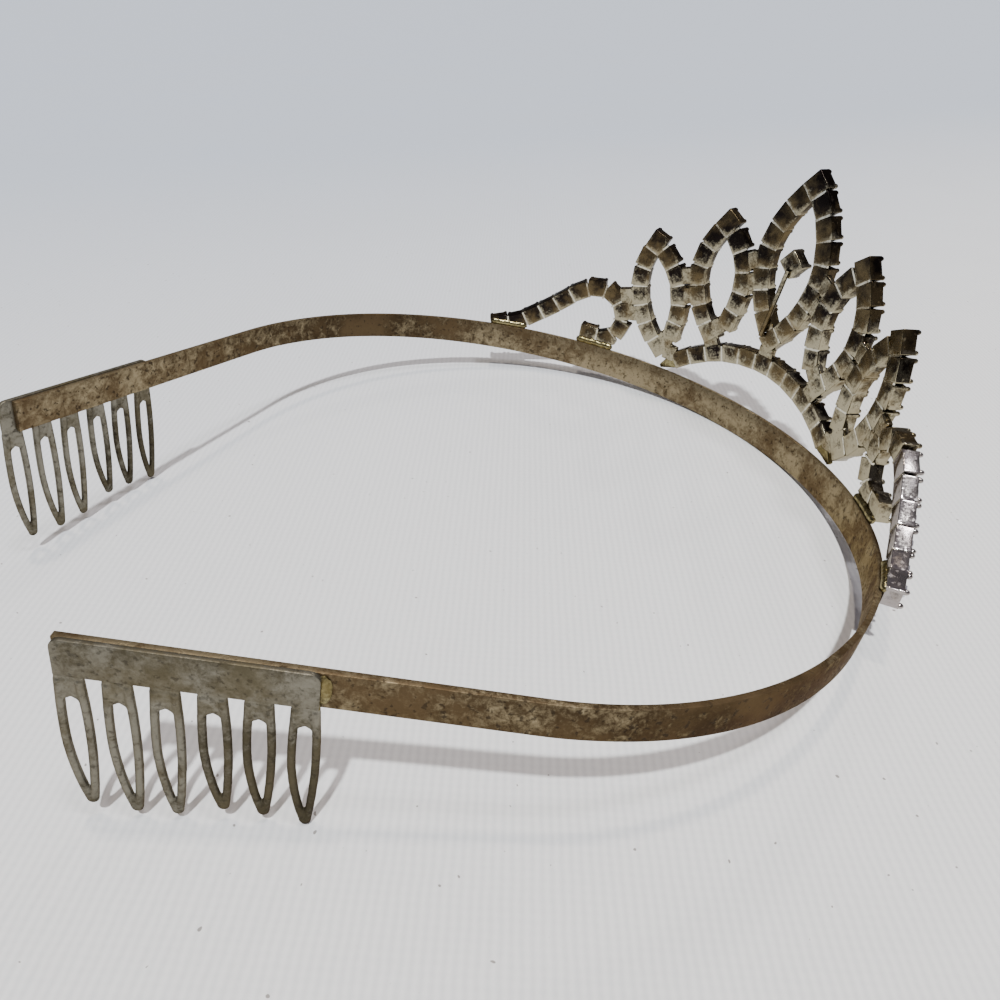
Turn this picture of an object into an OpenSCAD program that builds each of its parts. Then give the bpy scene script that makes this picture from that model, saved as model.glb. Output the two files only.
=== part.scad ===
// Headband crown: a flat band bent to a U, a comb on the outside of each end, and soldered
// chains of square cups with cut stones along the front. The parts are drawn with the band's
// top edge at z = 0 and its front at y = 0, and stand() then tilts them back until the front
// of the band and the comb tips rest on z = 0. The front faces -Y, and left is the wearer's.

/* [Band] */
// height of the band at its front
band_front_height = 6.5; // [5.5:0.1:8]
// height of the band along its arms
band_end_height = 5; // [4.2:0.1:6]
// thickness of the band's strip
band_thickness = 0.9; // [0.7:0.05:1.5]
// radius of the band's front curve, on its middle line
front_radius = 64.5; // [58:0.5:75]
// half the angle that the front curve turns through
front_turn = 82; // [76:1:86]
// radius of the tighter curve at each side
shoulder_radius = 57; // [48:0.5:64]
// angle that each side curve turns through
shoulder_turn = 40.5; // [30:0.5:46]
// straight length of each arm
arm_length = 51.5; // [40:0.5:65]
// distance from the front over which the band gets lower
taper_run = 88; // [60:1:100]

/* [Combs] */
// length of a comb's plate
comb_length = 27.7; // [25:0.1:34]
// thickness of a comb's sheet
comb_thickness = 1; // [0.7:0.05:1.4]
// number of teeth on a comb
comb_teeth = 6; // [4:1:7]
// distance from one tooth to the next
tooth_pitch = 4.95; // [4.5:0.05:5.4]
// length of a tooth under the plate
tooth_length = 20.6; // [16:0.1:26]
// width of a tooth where it leaves the plate
tooth_root = 2.9; // [2.4:0.1:3.4]
// width of a tooth at its belly
tooth_belly = 3.65; // [3.2:0.05:4]
// radius of a tooth's blunt tip
tip_radius = 0.8; // [0.6:0.05:1]
// how far a tip lies in front of its root's middle
tip_shift = 0.5; // [0:0.1:1]
// width of the eye-shaped slot in a tooth
slot_width = 1.75; // [1.2:0.05:2]
// radius of the plate's upper corners
plate_corner = 1.5; // [0.5:0.1:2]
// how far the left comb sits behind the end of its arm
comb_left_shift = 2; // [0:0.5:4]

/* [Cup chain] */
// length of a cup along its chain
cup_length = 4.05; // [3.6:0.05:4.4]
// width of a cup across its chain
cup_width = 3.9; // [3.6:0.05:4.4]
// depth of a cup from its flat back to its rim
cup_depth = 2.6; // [2.3:0.05:3]
// metal left behind the stone
cup_floor = 0.4; // [0.3:0.05:0.6]
// seam between one cup and the next
cup_gap = 0.35; // [0.2:0.05:0.6]
// width of the link that joins two cups
link_width = 2.4; // [1.6:0.1:3]
// thickness of that link
link_thickness = 1.2; // [0.8:0.1:1.6]
// radius of the prongs at a cup's corners
prong_radius = 0.35; // [0.3:0.01:0.4]
// how far the prongs stand over the rim
prong_height = 0.9; // [0.6:0.05:1.1]
// how far the chains lean in from the band's upright
chain_lean = 5.8; // [0:0.2:9]

/* [Stones] */
// radius of a stone's girdle
stone_radius = 1.65; // [1.4:0.05:1.7]
// height of the stone's crown over its girdle
crown_height = 0.85; // [0.6:0.05:1]
// thickness of the girdle
girdle_height = 0.15; // [0.1:0.01:0.2]
// depth of the stone's point under its girdle
point_depth = 1.45; // [1.1:0.05:1.5]
// share of the radius that the flat table takes
table_share = 0.56; // [0.5:0.01:0.65]

/* [Solder] */
// width of a solder bridge between two chains
web_width = 2.6; // [1.8:0.1:3.2]
// how far forward a bridge reaches from the cups' backs
web_front = 1.7; // [1.2:0.1:2.2]
// how far forward of the cups' backs a bridge starts
web_back = 0.25; // [0.1:0.05:0.4]
// height of the solder bead on the band's edge
bead_height = 1; // [0.6:0.1:1.4]
// how far that bead reaches over the band's edge
bead_depth = 0.8; // [0.4:0.1:0.9]

/* [Arch and leaves] */
// height of the arch's middle over the band's top edge
arch_rise = 10.6; // [9:0.1:13]
// angle between two cups of the arch
arch_turn = 7.2; // [6.5:0.1:8]
// distance from the arch to the foot of an outer leaf
outer_seat = 4.65; // [4.6:0.05:5.2]
// distance from the arch to the foot of an inner leaf
inner_seat = 4.9; // [4.8:0.05:5.4]
// distance from the arch to the foot of the centre leaf
center_seat = 5.5; // [5.1:0.05:6]
// length of the pointed foot at each end of the arch
foot_length = 3.9; // [3:0.1:4.4]
// height of that foot's blunt tip
foot_tip = 0.8; // [0.5:0.1:1.2]

/* [Centre post] */
// thickness of the post's wire
post_wire = 0.8; // [0.6:0.05:1.2]
// height of the post's stone over the centre leaf's foot
post_height = 16.2; // [12:0.1:20]
// how far the wire's foot lies to the left of its stone
post_foot_shift = 2; // [0:0.1:2.4]

/* [Hidden] */
$fn = 48;
seam = 0.1;            // clear space where two soldered pieces face each other
stone_clear = 0.1;     // clear space around a stone in its cup
past = 1;              // how far a cutting tool passes the face that it cuts
join_step = 0.02;      // how far a side curve's faces lie inside those of its neighbours
join_run = 0.5;        // how far a side curve runs into its neighbours
prong_edge = 0.04;     // from a cup's side to the side of its prong
tooth_waist = 0.46;    // share of a tooth's length at which it is widest
slot_from = 0.18;      // share at which its slot starts
slot_to = 0.8;         // share at which its slot ends
bead_overlap = 0.4;    // share of a cup that a bead runs past the cup's middle
post_share = 0.97;     // share of the post's height at which its wire ends
join_reach = 1.5;      // distance, in links, within which two cups are joined
circle_trim = 1 / 3;   // share of a link by which the chains' measuring circle is smaller
apex_share = 1 / 3;    // share of its width that the top cup's rim rises over its middle

// Plan of the band: each heading is the band's direction, 0 along +X at the front.
shoulder_end = front_turn + shoulder_turn;
shoulder_center = [(front_radius - shoulder_radius) * sin(front_turn),
                   front_radius - (front_radius - shoulder_radius) * cos(front_turn)];
arm_start = shoulder_center + shoulder_radius * [sin(shoulder_end), -cos(shoulder_end)];
arm_way = [cos(shoulder_end), sin(shoulder_end)];
arm_out = [sin(shoulder_end), -cos(shoulder_end)];

// Tooth lengths as shares of tooth_length, from the front tooth to the rear one.
tooth_trim = [0.945, 0.965, 0.97, 1.02, 1.025, 0.99, 1];
end_tooth = (comb_length - (comb_teeth - 2) * tooth_pitch) / 2;
function tooth_at(i) = end_tooth + (i - 0.5) * tooth_pitch;
function tooth_drop(i) = tooth_length * tooth_trim[i];

// Where the tip circle of a tooth on the right comb lies, and how low it reaches when tilted.
comb_off = band_thickness / 2 + seam + comb_thickness / 2;
function tip_y(i) = (arm_start + arm_way * (arm_length - comb_length + tooth_at(i) - tip_shift)
                     + arm_out * comb_off)[1];
function tip_z(i) = -band_end_height - tooth_drop(i) + tip_radius;
rest_y = -band_thickness / 2;
function rest_angle(i) =
    let (run = tip_y(i) - rest_y, fall = -band_front_height - tip_z(i),
         slant = atan2(fall, run) + asin(tip_radius / norm([run, fall])),
         skew = sin(slant) * arm_out[1],
         reach = tip_radius * sqrt(1 - skew * skew) + comb_thickness / 2 * abs(skew))
    atan2(fall, run) + asin(reach / norm([run, fall]));
tilt = max([for (i = [0 : comb_teeth - 1]) rest_angle(i)]);
lift = -(rest_y * sin(tilt) - band_front_height * cos(tilt));

// Chain coordinates: x runs along the band's front to the left, h up from its top edge.
link = cup_length + cup_gap;
back_off = band_thickness / 2 + seam;
chain_radius = front_radius + back_off + cup_depth / 2 - link * circle_trim;

// Turns of a chain, cup by cup and in degrees, from the second cup on.
//              first way  turns
scroll_turns = [163, [-16, -6, -2, 1, 16, 32, 40, 39, 45, 48]];
outer_long   = [42, [14, 11, 13, 15, 16]];
outer_short  = [-141, [10, 16, 14, 15]];
inner_long   = [49, [11, 15, 17, 17, 14]];
inner_short  = [-137, [12, 18, 18, 11]];
center_long  = [50, [10, 10, 12, 15, 13, 12, 11]];
// Where a chain starts, in links: along the band for the scroll, along the arch for a leaf.
scroll_start = [15.3, 0];
outer_start = 6;
inner_start = 3.2;
arch_side = 5;         // cups of the arch on each side of its middle one

function ways(turns) = [for (i = 0, w = turns[0]; i <= len(turns[1]);
    w = w + (i < len(turns[1]) ? turns[1][i] : 0), i = i + 1) w];
function spots(p, w) = [for (i = 0, q = p; i <= len(w);
    q = q + (i < len(w) ? link * [cos(w[i]), sin(w[i])] : [0, 0]), i = i + 1) q];
function cup_angle(w, i) = i == 0 ? w[0] : i >= len(w) ? w[len(w) - 1] : (w[i - 1] + w[i]) / 2;
function chain(p, turns) = let (w = ways(turns), q = spots(p, w))
    [for (i = [0 : len(q) - 1]) [q[i][0], q[i][1], cup_angle(w, i)]];
function flip(c) = [-c[0], c[1], 180 - c[2]];
function part_of(c, a, b) = [for (i = [a : b]) c[i]];

arch_radius = link / 2 / sin(arch_turn / 2);
function over_arch(k, d) = [(arch_radius + d) * sin(arch_turn * k),
                            arch_rise - arch_radius + (arch_radius + d) * cos(arch_turn * k)];
function arch_cup(k) = [over_arch(k, 0)[0], over_arch(k, 0)[1], -arch_turn * k];

scroll_cups = chain(scroll_start * link, scroll_turns);
arch_cups = [for (k = [-arch_side : arch_side]) arch_cup(k)];
outer_rise = chain(over_arch(outer_start, outer_seat), outer_long);
outer_fall = chain([outer_rise[6][0], outer_rise[6][1]], outer_short);
inner_rise = chain(over_arch(inner_start, inner_seat), inner_long);
inner_fall = chain([inner_rise[6][0], inner_rise[6][1]], inner_short);
center_rise = chain(over_arch(0, center_seat), center_long);
center_top = [0, center_rise[8][1], center_rise[8][2]];
center_foot = center_rise[0];
outer_cups = concat(outer_rise, part_of(outer_fall, 1, 5));
inner_cups = concat(inner_rise, part_of(inner_fall, 1, 5));
center_cups = concat(part_of(center_rise, 1, 7), [center_top],
                     [for (i = [7 : -1 : 1]) flip(center_rise[i])], [flip(center_rise[0])]);
arch_and_foot = concat(arch_cups, [arch_cup(arch_side + 1)]);
post_stone = [center_foot[0], center_foot[1] + post_height, 40];

// Puts what is drawn around the origin on the surface that the chains lie on.
module seat_at(c) {
    translate([0, front_radius, 0])
    rotate([0, 0, c[0] / chain_radius * 180 / PI])
    translate([0, -front_radius - back_off, 0])
    rotate([-chain_lean, 0, 0])
    translate([0, 0, c[1]])
    rotate([0, -c[2], 0])
    children();
}

module stand() {
    translate([0, shift_y, lift]) rotate([tilt, 0, 0]) children();
}

// The origin is under the middle of the whole crown's box.
apex = center_top;
apex_out = cup_depth + prong_height;
apex_low = front_radius - (front_radius + back_off) + apex[1] * sin(chain_lean)
           - apex_out * cos(chain_lean);
apex_up = apex[1] * cos(chain_lean) + apex_out * sin(chain_lean) + cup_width * apex_share;
front_y = apex_low * cos(tilt) - apex_up * sin(tilt);
rear_i = comb_teeth - 1;
rear_y = (tip_y(rear_i) + tip_radius + comb_left_shift * arm_way[1]) * cos(tilt)
         - (tip_z(rear_i) - tip_radius / 2) * sin(tilt);
shift_y = -(front_y + rear_y) / 2;

module band_strip(r, from, turn, thickness) {
    rotate([0, 0, from - 90])
    rotate_extrude(angle = turn, $fn = 180)
    translate([r - thickness / 2, -band_front_height])
    square([thickness, band_front_height]);
}

// The side curve is a hair thinner, so that its ends lie inside the front curve and the arm.
module band_side() {
    run = join_run / shoulder_radius * 180 / PI;
    translate(shoulder_center)
    band_strip(shoulder_radius, front_turn - run, shoulder_turn + 2 * run,
               band_thickness - 2 * join_step);
    translate(arm_start) rotate([0, 0, shoulder_end])
    translate([0, -band_thickness / 2, -band_front_height])
    cube([arm_length, band_thickness, band_front_height]);
}

module band() {
    rear = arm_start[1] + arm_length + past;
    color([0.55, 0.5, 0.42]) stand() intersection() {
        union() {
            translate([0, front_radius, 0])
            band_strip(front_radius, -front_turn, 2 * front_turn, band_thickness);
            band_side();
            mirror([1, 0, 0]) band_side();
        }
        rotate([90, 0, 90])
        translate([0, 0, -2 * front_radius])
        linear_extrude(height = 4 * front_radius)
        polygon([[-past - band_thickness, past], [-past - band_thickness, -band_front_height],
                 [rest_y, -band_front_height], [taper_run, -band_end_height],
                 [rear, -band_end_height], [rear, past]]);
    }
}

function sq(p) = p[0] * p[0] + p[1] * p[1];
function mid_of(a, b, c) =
    let (d = 2 * (a[0] * (b[1] - c[1]) + b[0] * (c[1] - a[1]) + c[0] * (a[1] - b[1])))
    [(sq(a) * (b[1] - c[1]) + sq(b) * (c[1] - a[1]) + sq(c) * (a[1] - b[1])) / d,
     (sq(a) * (c[0] - b[0]) + sq(b) * (a[0] - c[0]) + sq(c) * (b[0] - a[0])) / d];

module disc_through(a, b, c) {
    m = mid_of(a, b, c);
    translate(m) circle(r = norm(a - m), $fn = 180);
}

// A tooth is drawn with its root at the origin, +x to the rear and down along -y.
module tooth(drop) {
    waist = -drop * tooth_waist;
    slot_top = -drop * slot_from;
    slot_end = -drop * slot_to;
    slot_mid = (slot_top + slot_end) / 2;
    difference() {
        union() {
            intersection() {
                disc_through([tooth_root / 2, 0], [tooth_belly / 2, waist],
                             [tip_radius - tip_shift, -drop]);
                disc_through([-tooth_root / 2, 0], [-tooth_belly / 2, waist],
                             [-tip_radius - tip_shift, -drop]);
                translate([-tooth_belly, tip_radius - drop])
                square([2 * tooth_belly, drop - tip_radius + band_end_height / 2]);
            }
            translate([-tip_shift, tip_radius - drop]) circle(r = tip_radius);
        }
        intersection() {
            disc_through([0, slot_top], [slot_width / 2, slot_mid], [-tip_shift / 2, slot_end]);
            disc_through([0, slot_top], [-slot_width / 2, slot_mid], [-tip_shift / 2, slot_end]);
        }
    }
}

module comb_plate() {
    square([comb_length, band_end_height - plate_corner]);
    translate([plate_corner, 0]) square([comb_length - 2 * plate_corner, band_end_height]);
    for (x = [plate_corner, comb_length - plate_corner])
        translate([x, band_end_height - plate_corner]) circle(r = plate_corner);
}

module comb(shift) {
    color([0.6, 0.57, 0.5]) stand()
    translate(arm_start) rotate([0, 0, shoulder_end])
    translate([arm_length - comb_length + shift, -comb_off + comb_thickness / 2, -band_end_height])
    rotate([90, 0, 0]) linear_extrude(height = comb_thickness) {
        comb_plate();
        for (i = [0 : comb_teeth - 1]) translate([tooth_at(i), 0]) tooth(tooth_drop(i));
    }
}

// A cup lies with its back on y = 0 and opens to -y, its chain running along x.
module cup_block() {
    translate([-cup_length / 2, -cup_depth, -cup_width / 2])
    cube([cup_length, cup_depth, cup_width]);
    for (x = [-1, 1], z = [-1, 1])
        translate([x * (cup_length / 2 - prong_radius - prong_edge), seam - cup_depth,
                   z * (cup_width / 2 - prong_radius - prong_edge)])
        rotate([90, 0, 0]) cylinder(r = prong_radius, h = prong_height + seam, $fn = 24);
}

module cup_bore() {
    translate([0, -cup_floor, 0]) rotate([90, 0, 0])
    cylinder(r = stone_radius + stone_clear, h = cup_depth + prong_height + past);
}

module link_bar(a, b) {
    m = (a + b) / 2;
    way = atan2(b[1] - a[1], b[0] - a[0]);
    seat_at([m[0], m[1], way])
    translate([-cup_gap, -cup_depth / 2 - link_thickness / 2, -link_width / 2])
    cube([2 * cup_gap, link_thickness, link_width]);
}

module cup_chain(cups) {
    color([0.62, 0.58, 0.48]) stand() difference() {
        union() {
            for (c = cups) seat_at(c) cup_block();
            for (i = [0 : len(cups) - 2])
                if (norm([cups[i][0] - cups[i + 1][0], cups[i][1] - cups[i + 1][1]])
                    < join_reach * link)
                    link_bar(cups[i], cups[i + 1]);
            children();
        }
        for (c = cups) seat_at(c) cup_bore();
    }
}

module cut_stone() {
    r = stone_radius;
    function ring(q, turn, z) = [for (i = [0 : 7]) [q * cos(45 * i + turn), q * sin(45 * i + turn), z]];
    points = concat(ring(r * table_share, 0, crown_height), ring(r, 22.5, 0),
                    ring(r, 22.5, -girdle_height), [[0, 0, -girdle_height - point_depth]]);
    faces = concat(
        [[7, 6, 5, 4, 3, 2, 1, 0]],
        [for (i = [0 : 7]) [8 + i, i, (i + 1) % 8]],
        [for (i = [0 : 7]) [8 + i, (i + 1) % 8, 8 + (i + 1) % 8]],
        [for (i = [0 : 7]) [16 + i, 8 + i, 8 + (i + 1) % 8, 16 + (i + 1) % 8]],
        [for (i = [0 : 7]) [24, 16 + i, 16 + (i + 1) % 8]]);
    rise = cup_floor + stone_clear + point_depth + girdle_height;
    translate([0, -rise, 0]) rotate([90, 0, 0]) polyhedron(points, faces);
}

module cup_stones(cups) {
    color([0.86, 0.88, 0.92]) stand() for (c = cups) seat_at(c) cut_stone();
}

// Solder bridge from one chain's cup to a cup of the next chain, cut clear of that chain's
// cups and of what joins them.
module web(from, to, others) {
    m = (from + to) / 2;
    run = [to[0] - from[0], to[1] - from[1]];
    reach = link / 2 + 2 * seam;
    difference() {
        seat_at([m[0], m[1], atan2(run[1], run[0])])
        translate([-norm(run) / 2, -web_front, -web_width / 2])
        cube([norm(run), web_front - web_back, web_width]);
        for (c = others) seat_at(c)
            translate([-reach, -2 * cup_depth, -cup_width / 2 - seam])
            cube([2 * reach, 3 * cup_depth, cup_width + 2 * seam]);
    }
}

// Solder bead behind two cups, lying over the band's top edge.
module edge_bead(a, b) {
    seat_at([(a[0] + b[0]) / 2, 0, 0])
    translate([-abs(a[0] - b[0]) / 2 - cup_length * bead_overlap, -back_off, 2 * seam])
    cube([abs(a[0] - b[0]) + 2 * cup_length * bead_overlap, back_off + bead_depth, bead_height]);
}

// The arch runs out from its last cup to a point that reaches the band's top edge.
module arch_foot() {
    last = arch_cup(arch_side);
    from = cup_length / 2 - cup_gap;
    to = cup_length / 2 + foot_length;
    fall = (to * sin(-last[2]) - last[1]) / cos(last[2]);
    side = cup_width / 2 - seam;
    seat_at(last)
    translate([0, -cup_floor, 0]) rotate([90, 0, 0])
    linear_extrude(height = cup_depth - 2 * cup_floor)
    polygon([[from, -side], [to, fall - foot_tip / 2], [to, fall + foot_tip / 2], [from, side]]);
}

module arch() {
    cup_chain(arch_cups) {
        arch_foot();
        mirror([1, 0, 0]) arch_foot();
    }
}

module scroll() {
    cup_chain(scroll_cups) {
        web(scroll_cups[7], outer_cups[3], outer_cups);
        web(scroll_cups[8], outer_cups[2], outer_cups);
        edge_bead(scroll_cups[0], scroll_cups[1]);
        edge_bead(scroll_cups[10], scroll_cups[11]);
    }
}

module outer_leaf() {
    cup_chain(outer_cups) {
        web(outer_cups[8], inner_cups[3], inner_cups);
        web(outer_cups[9], inner_cups[2], inner_cups);
        web(outer_cups[11], outer_cups[0], arch_and_foot);
        web(outer_cups[0], arch_cup(arch_side), arch_and_foot);
    }
}

module inner_leaf() {
    cup_chain(inner_cups) {
        web(inner_cups[8], center_cups[3], center_cups);
        web(inner_cups[9], center_cups[2], center_cups);
        web(inner_cups[11], inner_cups[0], arch_cups);
        web(inner_cups[0], arch_cup(inner_start), arch_cups);
    }
}

module center_leaf() {
    cup_chain(center_cups) {
        web(center_cups[15], center_cups[0], arch_cups);
        web(center_cups[15], arch_cup(0), arch_cups);
    }
}

module post_body() {
    foot = [post_foot_shift, -post_height * post_share];
    tall = norm(foot);
    union() {
        cup_block();
        rotate([0, post_stone[2], 0])
        translate([foot[0], post_wire / 2 - seam, foot[1]])
        rotate([0, -atan2(foot[0], -foot[1]), 0])
        cylinder(r = post_wire / 2, h = tall - cup_width / 4);
    }
}

module center_post() {
    color([0.5, 0.47, 0.38]) stand()
    seat_at(post_stone) translate([0, post_wire / 2 - seam, 0]) difference() {
        post_body();
        cup_bore();
    }
}

module center_post_stone() {
    color([0.86, 0.88, 0.92]) stand()
    seat_at(post_stone) translate([0, post_wire / 2 - seam, 0]) cut_stone();
}

module comb_left() { comb(comb_left_shift); }
module comb_right() { mirror([1, 0, 0]) comb(0); }
module scroll_left() { scroll(); }
module scroll_right() { mirror([1, 0, 0]) scroll(); }
module outer_leaf_left() { outer_leaf(); }
module outer_leaf_right() { mirror([1, 0, 0]) outer_leaf(); }
module inner_leaf_left() { inner_leaf(); }
module inner_leaf_right() { mirror([1, 0, 0]) inner_leaf(); }
module scroll_left_stones() { cup_stones(scroll_cups); }
module scroll_right_stones() { mirror([1, 0, 0]) cup_stones(scroll_cups); }
module outer_leaf_left_stones() { cup_stones(outer_cups); }
module outer_leaf_right_stones() { mirror([1, 0, 0]) cup_stones(outer_cups); }
module inner_leaf_left_stones() { cup_stones(inner_cups); }
module inner_leaf_right_stones() { mirror([1, 0, 0]) cup_stones(inner_cups); }
module center_leaf_stones() { cup_stones(center_cups); }
module arch_stones() { cup_stones(arch_cups); }

band();
comb_left();
comb_right();
arch();
arch_stones();
scroll_left();
scroll_left_stones();
scroll_right();
scroll_right_stones();
outer_leaf_left();
outer_leaf_left_stones();
outer_leaf_right();
outer_leaf_right_stones();
inner_leaf_left();
inner_leaf_left_stones();
inner_leaf_right();
inner_leaf_right_stones();
center_leaf();
center_leaf_stones();
center_post();
center_post_stone();
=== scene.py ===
import math
import random

import bmesh
import bpy
from mathutils import Matrix, Vector


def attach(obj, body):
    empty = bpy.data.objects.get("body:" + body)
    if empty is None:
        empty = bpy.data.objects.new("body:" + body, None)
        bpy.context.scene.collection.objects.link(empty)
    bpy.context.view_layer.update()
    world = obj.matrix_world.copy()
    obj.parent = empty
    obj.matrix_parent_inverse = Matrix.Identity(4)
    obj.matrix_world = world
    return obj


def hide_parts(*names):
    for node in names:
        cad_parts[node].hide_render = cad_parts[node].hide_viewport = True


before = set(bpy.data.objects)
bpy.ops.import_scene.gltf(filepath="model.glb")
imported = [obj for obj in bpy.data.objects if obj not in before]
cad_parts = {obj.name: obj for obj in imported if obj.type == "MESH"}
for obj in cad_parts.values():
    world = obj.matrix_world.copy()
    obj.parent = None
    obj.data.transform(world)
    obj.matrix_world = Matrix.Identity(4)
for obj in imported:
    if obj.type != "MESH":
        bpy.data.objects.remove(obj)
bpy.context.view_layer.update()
mm = 0.001
chance = random.Random(7)
print("frame loaded:", len(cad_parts), "nodes")

# How the crown stands on its front edge and comb tips: the band rises by the tilt from its front
# to its ends. In degrees and millimetres.
stance = {"tilt": 8.828, "shiftY": -67.07, "lift": 6.492}
standPlace = (Matrix.Translation((0, stance["shiftY"] * mm, stance["lift"] * mm))
              @ Matrix.Rotation(math.radians(stance["tilt"]), 4, "X"))


def settle(name):  # names the active object and puts its place into its mesh
    piece = bpy.context.object
    piece.name = name
    bpy.ops.object.transform_apply(location=True, rotation=True, scale=True)
    return piece


def pickNone():
    bpy.ops.object.select_all(action="DESELECT")


def onlyPick(*pieces):
    pickNone()
    for piece in pieces:
        piece.select_set(True)
    bpy.context.view_layer.objects.active = pieces[0]


def edit(piece):
    onlyPick(piece)
    bpy.ops.object.mode_set(mode="EDIT")


def leaveEdit():
    bpy.ops.object.mode_set(mode="OBJECT")


def pick(kind, wanted):  # kind is VERT, EDGE or FACE; wanted says which of them
    bpy.ops.mesh.select_mode(type=kind)
    bpy.ops.mesh.select_all(action="DESELECT")
    mesh = bmesh.from_edit_mesh(bpy.context.object.data)
    for item in {"VERT": mesh.verts, "EDGE": mesh.edges, "FACE": mesh.faces}[kind]:
        if wanted(item):
            item.select_set(True)
    bmesh.update_edit_mesh(bpy.context.object.data)


def pickWhole():
    bpy.ops.mesh.select_all(action="SELECT")


def faceOutwards():
    pickWhole()
    bpy.ops.mesh.normals_make_consistent(inside=False)


def middle(item):  # of an edge or a face
    return sum((corner.co for corner in item.verts), Vector()) / len(item.verts)


def block(name, size, place):  # a box to start from, size and middle in millimetres
    pickNone()
    bpy.ops.mesh.primitive_cube_add(size=1)
    piece = bpy.context.object
    piece.scale = [length * mm for length in size]
    piece.location = [part * mm for part in place]
    return settle(name)


def finishWith(piece, kind, **settings):  # adds one modifier and applies it
    onlyPick(piece)
    extra = piece.modifiers.new(kind.title(), kind)
    for key, value in settings.items():
        setattr(extra, key, value)
    bpy.ops.object.modifier_apply(modifier=extra.name)


def roundEdges(piece, width, segments, angle):
    finishWith(piece, "BEVEL", width=width * mm, segments=segments, limit_method="ANGLE",
               angle_limit=math.radians(angle))


def runTogether(piece, voxel):
    finishWith(piece, "REMESH", mode="VOXEL", voxel_size=voxel * mm)


def soften(piece, rounds):
    finishWith(piece, "SMOOTH", factor=0.5, iterations=rounds)


def shadeSmooth(piece, angle):
    onlyPick(piece)
    bpy.ops.object.shade_smooth_by_angle(angle=math.radians(angle))


def copied(piece, name, place):
    twin = bpy.data.objects.new(name, piece.data.copy())
    bpy.context.scene.collection.objects.link(twin)
    twin.data.transform(place)
    return twin


def joined(pieces, name):
    onlyPick(*pieces)
    if len(pieces) > 1:
        bpy.ops.object.join()
    whole = bpy.context.object
    whole.name = name
    whole.data.name = name
    return whole


def paint(piece, name, level):  # level(place) gives each corner's number, kept when joined
    mark = piece.data.attributes.get(name) or piece.data.attributes.new(name, "FLOAT", "POINT")
    for spot, corner in zip(mark.data, piece.data.vertices):
        spot.value = level(corner.co)


def dress(piece, *finishes):
    piece.data.materials.clear()
    for finish in finishes:
        piece.data.materials.append(finish)


class Wire:  # a shader socket that maths can be written on
    def __init__(self, finish, socket):
        self.finish = finish
        self.socket = socket

    def maths(self, operation, first, second):
        return self.finish.add("ShaderNodeMath", {"operation": operation}, {0: first, 1: second})

    def __add__(self, other):
        return self.maths("ADD", self, other)

    def __radd__(self, other):
        return self.maths("ADD", other, self)

    def __sub__(self, other):
        return self.maths("SUBTRACT", self, other)

    def __rsub__(self, other):
        return self.maths("SUBTRACT", other, self)

    def __mul__(self, other):
        return self.maths("MULTIPLY", self, other)

    def __rmul__(self, other):
        return self.maths("MULTIPLY", other, self)

    def held(self):  # between 0 and 1
        return self.finish.add("ShaderNodeClamp", {}, {"Value": self})

    def band(self, low, high):  # 0 below low, 1 above high, smooth between
        return self.finish.add("ShaderNodeMapRange", {"interpolation_type": "SMOOTHSTEP"},
                               {"Value": self, "From Min": low, "From Max": high})


class Finish:  # a material, or the world, and the nodes that make it
    def __init__(self, owner):
        self.owner = owner
        owner.use_nodes = True
        self.tree = owner.node_tree
        self.tree.nodes.clear()

    def add(self, kind, settings, sockets, output=0):
        node = self.tree.nodes.new(kind)
        for key, value in settings.items():
            setattr(node, key, value)
        for key, value in sockets.items():
            if isinstance(value, Wire):
                self.tree.links.new(value.socket, node.inputs[key])
            else:
                node.inputs[key].default_value = value
        return Wire(self, node.outputs[output]) if len(node.outputs) else node

    def grain(self, size, detail, rough, warp=0.0):  # size in millimetres
        where = self.add("ShaderNodeTexCoord", {}, {}, "Object")
        return self.add("ShaderNodeTexNoise", {}, {
            "Vector": where, "Scale": 1 / (size * mm), "Detail": detail,
            "Roughness": rough, "Distortion": warp})

    def blend(self, first, second, amount):
        return self.add("ShaderNodeMix", {"data_type": "RGBA"},
                        {"Factor": amount, 6: first, 7: second}, 2)

    def mark(self, name):  # what paint left on the corners, and 0 where it left nothing
        return self.add("ShaderNodeAttribute", {"attribute_name": name}, {}, "Fac")

    def bumps(self, height, depth, strength=1.0):  # depth in millimetres
        return self.add("ShaderNodeBump", {}, {"Height": height, "Strength": strength,
                                               "Distance": depth * mm})

    def done(self, **sockets):
        shader = self.add("ShaderNodeBsdfPrincipled", {}, {
            key.replace("_", " "): value for key, value in sockets.items()})
        self.add("ShaderNodeOutputMaterial", {}, {"Surface": shader})
        return self.owner


def colour(red, green, blue):
    return (red, green, blue, 1.0)


# What all the metals share: how the stains gather, and what they do to the surface.
tarnishPlan = {"cloudSize": 4.5, "patches": 1.5, "darkFrom": 0.1, "darkTo": 0.9, "pitEdge": 0.08,
               "warmPatches": 0.4, "warmFrom": 0.6, "warmTo": 0.9, "warmth": 0.6,
               "roughDark": 0.15, "roughSpeck": 0.25, "roughPit": 0.2, "silverLost": 0.6,
               "pitDulled": 0.3, "speckHeight": 0.6, "patchHeight": 0.5, "pitDepth": 0.8}


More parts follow.
